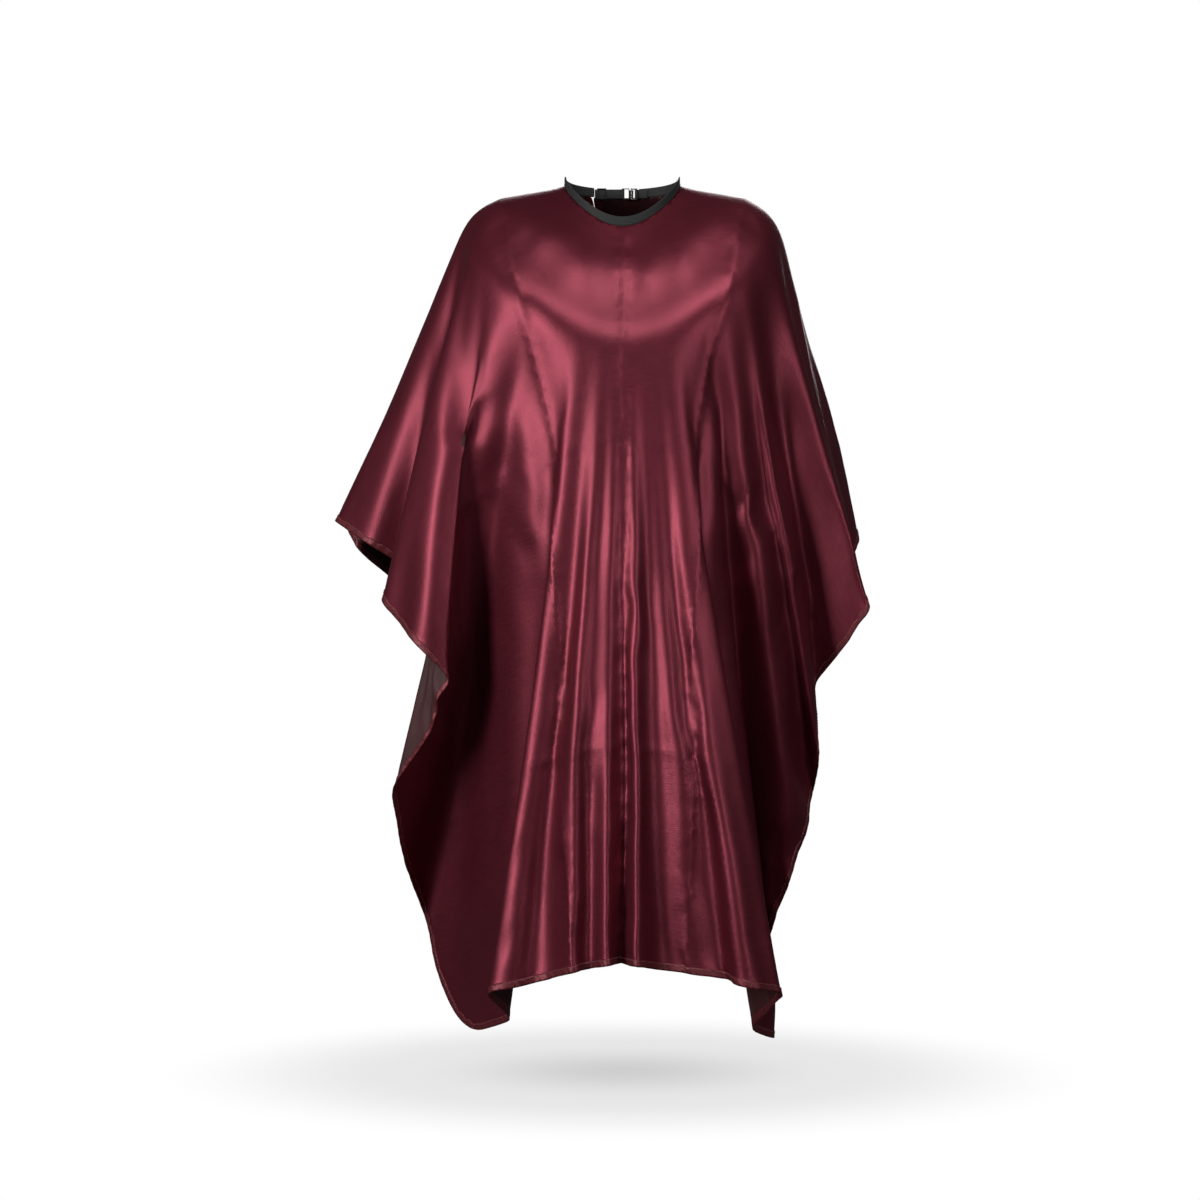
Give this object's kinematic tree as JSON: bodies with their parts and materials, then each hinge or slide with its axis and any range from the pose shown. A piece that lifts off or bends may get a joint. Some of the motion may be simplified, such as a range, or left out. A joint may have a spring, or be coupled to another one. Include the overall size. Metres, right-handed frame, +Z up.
{
  "type": "barber cape",
  "caption": "Draped rectangular satin cape with an elastic neckband, bound edges and a hook-and-eye strap closure at the back of the neck.",
  "frame": {"origin": "on the vertical axis of the neck, level with the neckband's top edge beside the neck", "axes": "+Z up, the front of the cape faces -Y, the wearer's left is +X"},
  "size_m": [0.7018, 0.5169, 1.1115],
  "materials": {
    "satin": "wine red polyester satin, glossy, fine twill",
    "binding_tape": "narrow folded satin tape, slightly puckered",
    "elastic": "black ribbed elastic, matt",
    "webbing": "black woven webbing, matt",
    "dark_metal": "black lacquered metal",
    "bright_metal": "satin nickel",
    "label_weave": "plain black woven label"
  },
  "bodies": {
    "cape": {"cape_panel": "satin", "edge_binding": "binding_tape", "woven_label": "label_weave", "neckband": "elastic", "eye_tab": "webbing"},
    "strap": {"neck_strap": "webbing"},
    "slide": {"slide_adjuster": "dark_metal"},
    "hook": {"hook": "dark_metal"},
    "eye": {"eye_ring": "bright_metal"}
  },
  "joints": [
    {"name": "closure_swing", "type": "hinge", "parent": "cape", "child": "strap", "pos_m": [-0.0353, 0.05846, -0.013], "axis": [0, 0, 1], "range_deg": [0, 110]},
    {"name": "adjuster_slide", "type": "slide", "parent": "strap", "child": "slide", "axis": [1, 0, 0], "range_m": [0, 0.018]},
    {"name": "hook_pivot", "type": "hinge", "parent": "strap", "child": "hook", "pos_m": [0.0007, 0.05846, -0.013], "axis": [0, 0, 1], "range_deg": [0, 60]},
    {"name": "eye_pivot", "type": "hinge", "parent": "cape", "child": "eye", "pos_m": [0.0194, 0.05846, -0.013], "axis": [0, 0, 1], "range_deg": [0, 40]}
  ]
}
